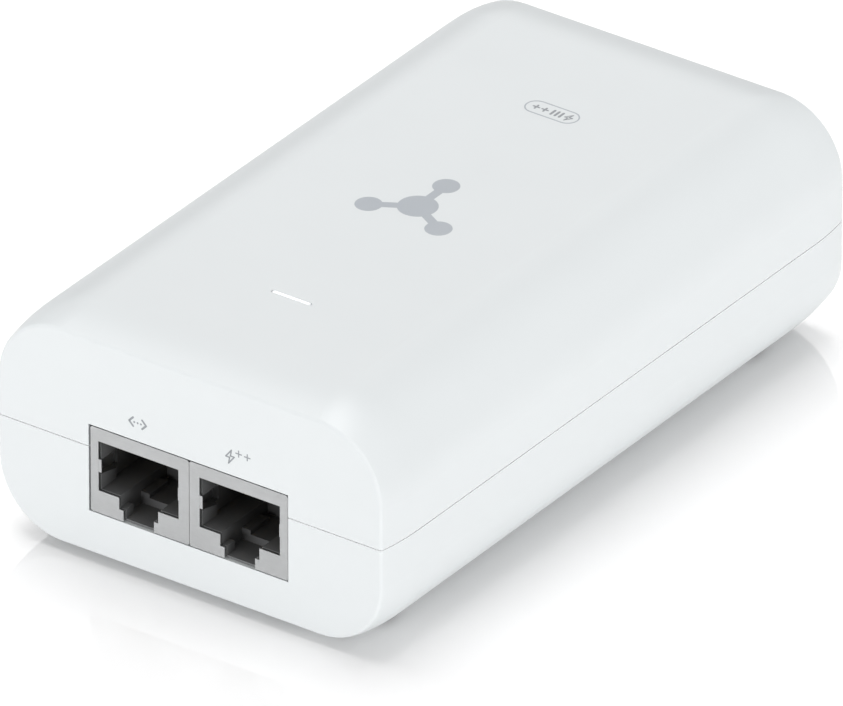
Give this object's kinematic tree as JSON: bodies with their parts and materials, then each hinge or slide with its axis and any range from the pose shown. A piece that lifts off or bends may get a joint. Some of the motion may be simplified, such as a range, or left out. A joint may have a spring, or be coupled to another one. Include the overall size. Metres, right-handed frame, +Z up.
{
  "type": "PoE injector",
  "caption": "Rounded white plastic power injector with side-by-side shielded network sockets at one end, a mains inlet at the other, a lit status window on top and a slide-off wall bracket.",
  "frame": {"origin": "centre of the footprint, on the flat underside of the case", "axes": "+Z up out of the top cover; +Y lengthwise, from the network sockets towards the mains inlet; +X across the width"},
  "size_m": [0.059, 0.0996, 0.0332],
  "materials": {
    "case_plastic": "satin white moulded polycarbonate with a very fine texture",
    "bracket_plastic": "fine-textured white moulded plastic",
    "screw_steel": "zinc-plated steel",
    "shield_steel": "satin tin-plated sheet",
    "socket_plastic": "black moulded nylon",
    "contact_gold": "gold-flashed phosphor bronze",
    "inlet_plastic": "black moulded nylon with a fine texture",
    "pin_nickel": "bright nickel plate",
    "board_laminate": "green solder mask",
    "insulating_film": "translucent fish paper",
    "capacitor_sleeve": "shrunk PVC sleeve",
    "ferrite": "sintered ferrite, slightly porous",
    "bobbin_plastic": "phenolic moulding",
    "winding_tape": "polyester tape",
    "copper_wire": "enamelled copper wire",
    "box_capacitor": "moulded yellow box",
    "fuse_plastic": "brown moulded cap",
    "varistor_coating": "dipped blue epoxy",
    "chip_plastic": "black moulding compound",
    "heatsink_aluminium": "sheared sheet",
    "opto_plastic": "off-white moulding compound",
    "chip_ceramic": "ceramic chip bodies",
    "led_body": "white LED package",
    "light_pipe_clear": "clear acrylic with a frosted upper face"
  },
  "bodies": {
    "injector": {"bottom_cover": "case_plastic", "bridge_rectifier": "chip_plastic", "bulk_capacitor": "capacitor_sleeve", "case_screws": "screw_steel", "chip_components": "chip_ceramic", "choke_core": "ferrite", "choke_windings": "copper_wire", "circuit_board": "board_laminate", "data_socket_housing": "socket_plastic", "data_socket_leads": "contact_gold", "data_socket_shield": "shield_steel", "fuse": "fuse_plastic", "heatsink_screws": "screw_steel", "inlet_housing": "inlet_plastic", "inlet_pins": "pin_nickel", "insulating_sheet": "insulating_film", "lan_magnetics": "chip_plastic", "light_pipe": "light_pipe_clear", "optocoupler": "opto_plastic", "output_capacitors": "capacitor_sleeve", "output_inductor": "ferrite", "output_rectifier": "chip_plastic", "poe_controller": "chip_plastic", "power_socket_housing": "socket_plastic", "power_socket_leads": "contact_gold", "power_socket_shield": "shield_steel", "power_transistor": "chip_plastic", "primary_heatsink": "heatsink_aluminium", "pwm_controller": "chip_plastic", "secondary_heatsink": "heatsink_aluminium", "status_led": "led_body", "surge_varistor": "varistor_coating", "top_cover": "case_plastic", "transformer_bobbin": "bobbin_plastic", "transformer_core": "ferrite", "transformer_winding": "winding_tape", "x_capacitor": "box_capacitor", "y_capacitor": "varistor_coating"},
    "data_contacts": {"data_socket_contacts": "contact_gold"},
    "power_contacts": {"power_socket_contacts": "contact_gold"},
    "bracket": {"wall_bracket": "bracket_plastic"}
  },
  "joints": [
    {"name": "bracket_slide", "type": "slide", "parent": "injector", "child": "bracket", "axis": [0, 1, 0], "range_m": [0, 0.008]},
    {"name": "data_contact_flex", "type": "hinge", "parent": "injector", "child": "data_contacts", "pos_m": [-0.00772, -0.046, 0.0183], "axis": [1, 0, 0], "range_deg": [0, 9], "stiffness_Nm_per_rad": 0.3},
    {"name": "power_contact_flex", "type": "hinge", "parent": "injector", "child": "power_contacts", "pos_m": [0.00755, -0.046, 0.0183], "axis": [1, 0, 0], "range_deg": [0, 9], "stiffness_Nm_per_rad": 0.3}
  ]
}
